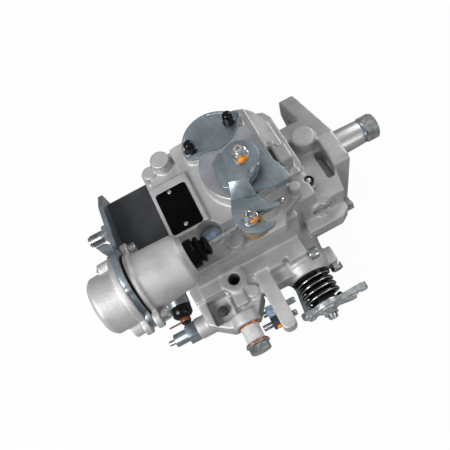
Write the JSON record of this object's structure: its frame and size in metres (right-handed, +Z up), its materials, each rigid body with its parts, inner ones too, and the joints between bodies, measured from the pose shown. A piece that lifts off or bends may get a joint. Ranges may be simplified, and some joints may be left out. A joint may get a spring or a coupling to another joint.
{
  "type": "diesel injection pump",
  "caption": "Rotary distributor injection pump with drive flange, throttle lever, vacuum actuator, cold-start lever and rear delivery outlets.",
  "frame": {"origin": "on the drive shaft's axis in the mounting face of the flange", "axes": "+X along the shaft towards its nut, +Z up through the governor cover, +Y away from the fuel inlet side"},
  "size_m": [0.2885, 0.204, 0.18],
  "materials": {
    "cast_aluminium": "as cast, matte",
    "black_steel": "blackened, satin",
    "zinc_steel": "blue zinc plated",
    "machined_steel": "turned",
    "spring_steel": "dark, oiled",
    "zinc_casting": "die cast, satin",
    "black_label": "plain black, satin",
    "black_plastic": "moulded",
    "black_rubber": "moulded",
    "copper": "annealed copper",
    "white_plastic": "translucent white"
  },
  "bodies": {
    "housing": {"actuator_body": "cast_aluminium", "actuator_bracket": "zinc_steel", "actuator_cup": "cast_aluminium", "actuator_screws": "zinc_steel", "banjo_bolt": "zinc_steel", "cap_screws": "black_plastic", "cold_spring": "spring_steel", "copper_washers": "copper", "cover_gasket": "cast_aluminium", "cover_screws": "zinc_steel", "delivery_valve_holders": "zinc_steel", "governor_cover": "cast_aluminium", "governor_shaft": "machined_steel", "governor_spring": "spring_steel", "head_plug": "zinc_steel", "head_screws": "zinc_steel", "hydraulic_head": "black_steel", "label_plate": "black_label", "pan_cover": "zinc_steel", "plunger_barrel": "machined_steel", "plunger_springs": "spring_steel", "pump_housing": "cast_aluminium", "pump_ring": "machined_steel", "return_nipple": "zinc_steel", "rod_boot": "black_rubber", "screw_plugs": "zinc_steel", "shaft_seal": "black_rubber", "shutoff_solenoid": "zinc_steel", "side_bolts": "zinc_steel", "solenoid_cap": "black_plastic", "stop_plate": "zinc_steel", "stop_screws": "zinc_steel", "timing_cover": "cast_aluminium", "timing_spring": "spring_steel", "transport_sleeve": "white_plastic"},
    "drive": {"drive_shaft": "machined_steel", "shaft_key": "machined_steel", "spring_washer": "zinc_steel", "shaft_nut": "zinc_steel", "drive_gear": "machined_steel", "pump_rotor": "machined_steel"},
    "distributor": {"cam_plate": "machined_steel", "distributor_plunger": "machined_steel"},
    "governor": {"governor_rotor": "machined_steel"},
    "sleeve": {"governor_sleeve": "machined_steel"},
    "tension_lever": {"governor_lever": "machined_steel"},
    "collar": {"control_collar": "machined_steel"},
    "timing": {"timing_piston": "machined_steel"},
    "rollers": {"roller_ring": "machined_steel", "cam_rollers": "machined_steel"},
    "throttle": {"throttle_shaft": "machined_steel", "throttle_lever": "zinc_steel", "lever_nuts": "zinc_steel"},
    "rod": {"actuator_rod": "zinc_steel", "swivel_block": "zinc_steel", "actuator_diaphragm": "black_rubber"},
    "cold_start": {"cold_shaft": "machined_steel", "cold_lever": "zinc_casting", "cold_nut": "zinc_steel"},
    "armature": {"solenoid_armature": "machined_steel"}
  },
  "joints": [
    {"name": "shaft_spin", "type": "hinge", "parent": "housing", "child": "drive", "pos_m": [0, 0, 0], "axis": [1, 0, 0], "continuous": true},
    {"name": "plunger_spin", "type": "hinge", "parent": "housing", "child": "distributor", "pos_m": [-0.11, 0, 0], "axis": [1, 0, 0], "continuous": true},
    {"name": "governor_spin", "type": "hinge", "parent": "housing", "child": "governor", "pos_m": [-0.08, 0, 0.046], "axis": [1, 0, 0], "continuous": true},
    {"name": "sleeve_slide", "type": "slide", "parent": "housing", "child": "sleeve", "axis": [1, 0, 0], "range_m": [-0.004, 0]},
    {"name": "lever_tilt", "type": "hinge", "parent": "housing", "child": "tension_lever", "pos_m": [-0.125, 0, 0.024], "axis": [0, 1, 0], "range_deg": [-10.5, 0]},
    {"name": "collar_slide", "type": "slide", "parent": "housing", "child": "collar", "axis": [1, 0, 0], "range_m": [0, 0.0024]},
    {"name": "timing_slide", "type": "slide", "parent": "housing", "child": "timing", "axis": [0, 1, 0], "range_m": [-0.006, 0.006]},
    {"name": "roller_ring_turn", "type": "hinge", "parent": "housing", "child": "rollers", "pos_m": [-0.096, 0, 0], "axis": [1, 0, 0], "range_deg": [-7.7, 7.7]},
    {"name": "throttle_turn", "type": "hinge", "parent": "housing", "child": "throttle", "pos_m": [-0.086, -0.029, 0.1], "axis": [0, 0, 1], "range_deg": [0, 25], "stiffness_Nm_per_rad": 0.3, "springref_deg": -17.19},
    {"name": "rod_slide", "type": "slide", "parent": "housing", "child": "rod", "axis": [0.9983, 0.0576, 0], "range_m": [0, 0.0194]},
    {"name": "cold_start_turn", "type": "hinge", "parent": "housing", "child": "cold_start", "pos_m": [-0.072, -0.12, -0.03], "axis": [0, 1, 0], "range_deg": [0, 30], "stiffness_Nm_per_rad": 0.5, "springref_deg": -17.19},
    {"name": "armature_slide", "type": "slide", "parent": "housing", "child": "armature", "axis": [0, -1, 0], "range_m": [0, 0.003], "stiffness_N_per_m": 400, "springref_m": -0.002}
  ],
  "couplings": [
    {"joint": "plunger_spin", "follows": "shaft_spin", "ratio": 1},
    {"joint": "governor_spin", "follows": "shaft_spin", "ratio": -1.5556},
    {"joint": "lever_tilt", "follows": "sleeve_slide", "rad_per_m": 45.455},
    {"joint": "collar_slide", "follows": "sleeve_slide", "ratio": -0.56364},
    {"joint": "roller_ring_turn", "follows": "timing_slide", "rad_per_m": 22.222},
    {"joint": "rod_slide", "follows": "throttle_turn", "m_per_rad": 0.04417}
  ]
}
